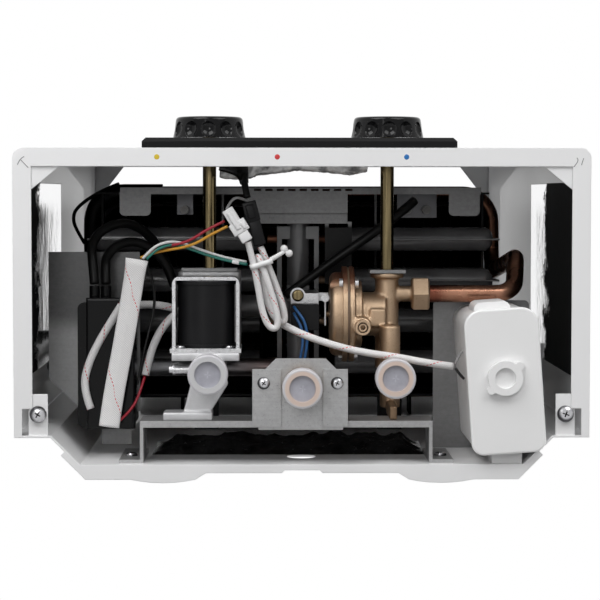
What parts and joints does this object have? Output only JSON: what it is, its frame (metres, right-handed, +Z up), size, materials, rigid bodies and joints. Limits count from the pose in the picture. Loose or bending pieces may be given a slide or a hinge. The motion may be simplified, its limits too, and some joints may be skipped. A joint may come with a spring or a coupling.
{
  "type": "tankless gas water heater",
  "caption": "Wall-hung open-flue tankless water heater with gas valve, water valve, burner, copper exchanger, flue collar, wiring, battery box and two front knobs.",
  "frame": {"origin": "on the wall plane, on the case's centre line, level with the front cover's bottom rim", "axes": "+Z up, -Y out of the wall towards the user, +X to the user's right"},
  "size_m": [0.3286, 0.2106, 0.6053],
  "materials": {
    "white_enamel": "smooth white enamel",
    "bright_foil": "bright crinkled foil",
    "black_gloss": "glossy",
    "display_glass": "dark tinted",
    "chrome_screw": "polished",
    "yellow_zinc": "yellow passivated",
    "bright_steel": "bright plated",
    "cast_alloy": "as die-cast",
    "coil_black": "smooth",
    "frosted_cap": "frosted, milky",
    "black_steel": "semi-gloss black",
    "grey_steel": "galvanised",
    "cast_brass": "as cast, matte",
    "ceramic": "glazed",
    "copper": "drawn copper",
    "black_rubber": "smooth",
    "white_plastic": "satin",
    "woven_sleeve": "woven glass sleeve with a red tracer",
    "wire_skin": "wire insulation in several colours"
  },
  "bodies": {
    "case": {"front_cover": "white_enamel", "back_plate": "white_enamel", "side_shields": "bright_foil", "display_module": "bright_foil", "control_strip": "black_gloss", "controller_box": "black_gloss", "display_window": "display_glass", "cover_screws": "chrome_screw", "gas_screws": "chrome_screw", "bracket_screws": "chrome_screw", "water_valve_bolts": "chrome_screw", "switch_screw": "yellow_zinc", "spindle_plates": "bright_steel", "solenoid_frame": "bright_steel", "microswitch_bracket": "bright_steel", "gas_test_nipple": "bright_steel", "gas_valve_body": "cast_alloy", "gas_inlet": "cast_alloy", "solenoid_coil": "coil_black", "microswitch": "coil_black", "gas_manifold": "black_steel", "burner_bars": "black_steel", "burner_frame": "grey_steel", "hot_bracket": "grey_steel", "bracket_bar": "grey_steel", "controller_plate": "grey_steel", "battery_plate": "grey_steel", "flue_hood": "grey_steel", "water_valve_body": "cast_brass", "water_valve_cover": "cast_brass", "relief_nozzle": "cast_brass", "union_nut": "cast_brass", "hot_fitting": "cast_brass", "injectors": "cast_brass", "electrodes": "ceramic", "fire_chamber": "copper", "fin_block": "copper", "cold_pipe": "copper", "hot_pipe": "copper", "diaphragm": "black_rubber", "black_leads": "black_rubber", "battery_box": "white_plastic", "plug_connectors": "white_plastic", "cable_ties": "white_plastic", "harness_sleeves": "woven_sleeve", "wire_hank": "woven_sleeve", "main_sleeve": "woven_sleeve", "thin_wires": "wire_skin"},
    "gas_control": {"gas_knob": "black_gloss", "gas_rod": "yellow_zinc"},
    "water_control": {"water_knob": "black_gloss", "water_rod": "yellow_zinc"},
    "lid": {"battery_lid": "white_plastic"},
    "latch": {"battery_latch": "white_plastic"},
    "plunger": {"solenoid_plunger": "bright_steel"},
    "flow_rod": {"diaphragm_rod": "cast_brass"},
    "lever": {"microswitch_lever": "bright_steel"},
    "gas_cover_cap": {"gas_cap": "frosted_cap"},
    "hot_cover_cap": {"hot_cap": "frosted_cap"},
    "cold_cover_cap": {"cold_cap": "frosted_cap"}
  },
  "joints": [
    {"name": "gas_turn", "type": "hinge", "parent": "case", "child": "gas_control", "pos_m": [-0.0544, -0.205, 0.06], "axis": [0, -1, 0], "range_deg": [-75, 75]},
    {"name": "water_turn", "type": "hinge", "parent": "case", "child": "water_control", "pos_m": [0.0515, -0.205, 0.06], "axis": [0, -1, 0], "range_deg": [-135, 135]},
    {"name": "lid_off", "type": "slide", "parent": "case", "child": "lid", "axis": [0, 0, -1], "range_m": [0, 0.06]},
    {"name": "latch_turn", "type": "hinge", "parent": "lid", "child": "latch", "pos_m": [0.11516, -0.0607, -0.006], "axis": [0, 0, 1], "range_deg": [0, 90]},
    {"name": "plunger_pull", "type": "slide", "parent": "case", "child": "plunger", "axis": [0, 1, 0], "range_m": [-0.004, 0], "stiffness_N_per_m": 100, "springref_m": 0.004},
    {"name": "flow_push", "type": "slide", "parent": "case", "child": "flow_rod", "axis": [-1, 0, 0], "range_m": [0, 0.0012], "stiffness_N_per_m": 200, "springref_m": -0.002},
    {"name": "lever_swing", "type": "hinge", "parent": "case", "child": "lever", "pos_m": [0.0144, -0.1035, 0.056], "axis": [0, 0, 1], "range_deg": [0, 8.5]},
    {"name": "gas_cap_off", "type": "slide", "parent": "case", "child": "gas_cover_cap", "axis": [0, 0, -1], "range_m": [0, 0.05]},
    {"name": "hot_cap_off", "type": "slide", "parent": "case", "child": "hot_cover_cap", "axis": [0, 0, -1], "range_m": [0, 0.05]},
    {"name": "cold_cap_off", "type": "slide", "parent": "case", "child": "cold_cover_cap", "axis": [0, 0, -1], "range_m": [0, 0.05]}
  ],
  "couplings": [
    {"joint": "lever_swing", "follows": "flow_push", "rad_per_m": 120}
  ]
}
